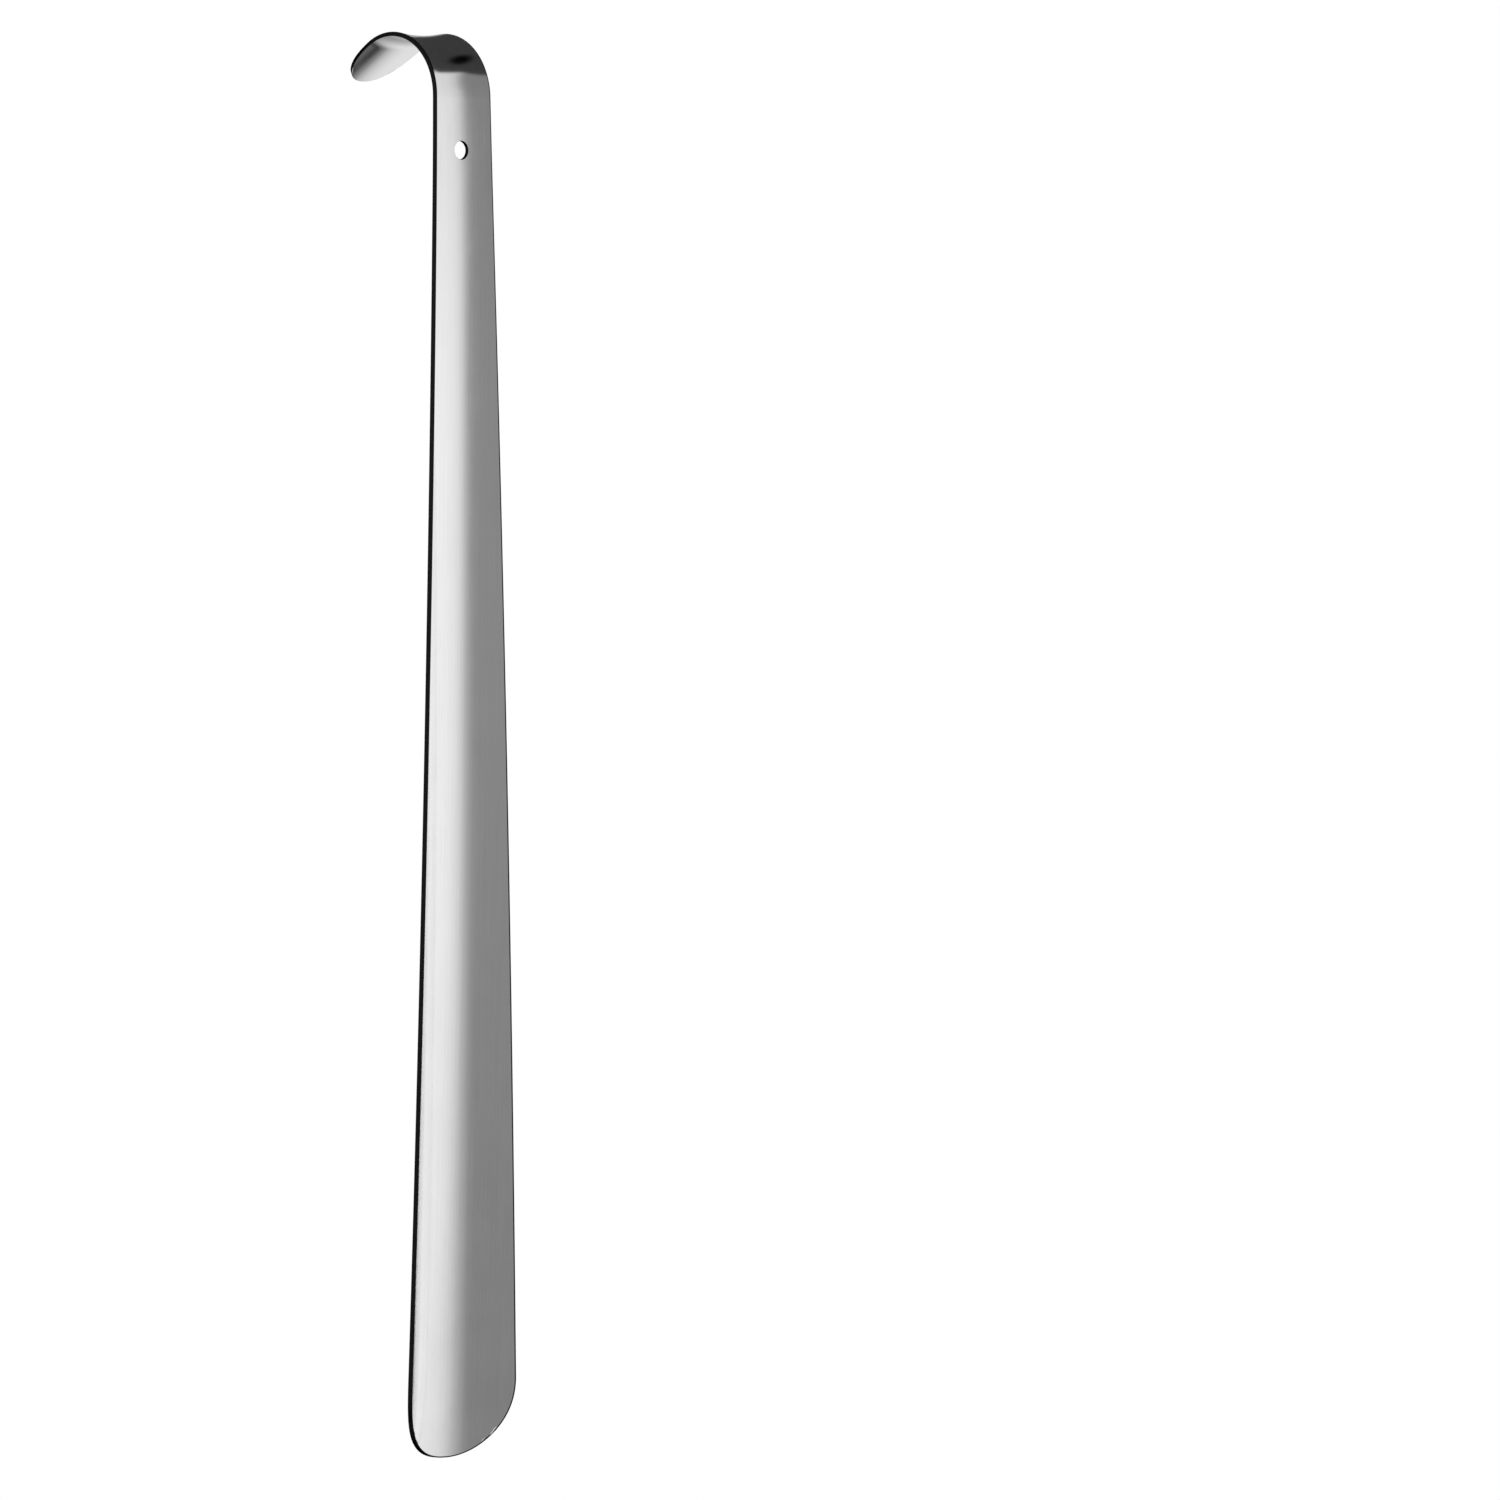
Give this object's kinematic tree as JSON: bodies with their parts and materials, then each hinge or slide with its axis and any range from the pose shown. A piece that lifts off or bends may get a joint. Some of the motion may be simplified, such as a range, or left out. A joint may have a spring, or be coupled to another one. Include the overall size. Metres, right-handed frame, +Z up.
{
  "type": "long shoehorn",
  "caption": "Long steel shoehorn: one pressed sheet with a widening trough, a rounded tip, a hanging hole and a hook bent back at the top.",
  "frame": {"origin": "middle of the hanging hole, half way through the sheet", "axes": "+Z up along the blade to the hook; -Y out of the hollow front, which takes the heel; +Y back, where the hook bends; X across the blade, which is the same on both sides"},
  "size_m": [0.062, 0.0658, 0.5997],
  "materials": {
    "satin_steel": "satin, with darker cut edges"
  },
  "bodies": {
    "root": {"shoehorn_blade": "satin_steel"}
  },
  "joints": []
}
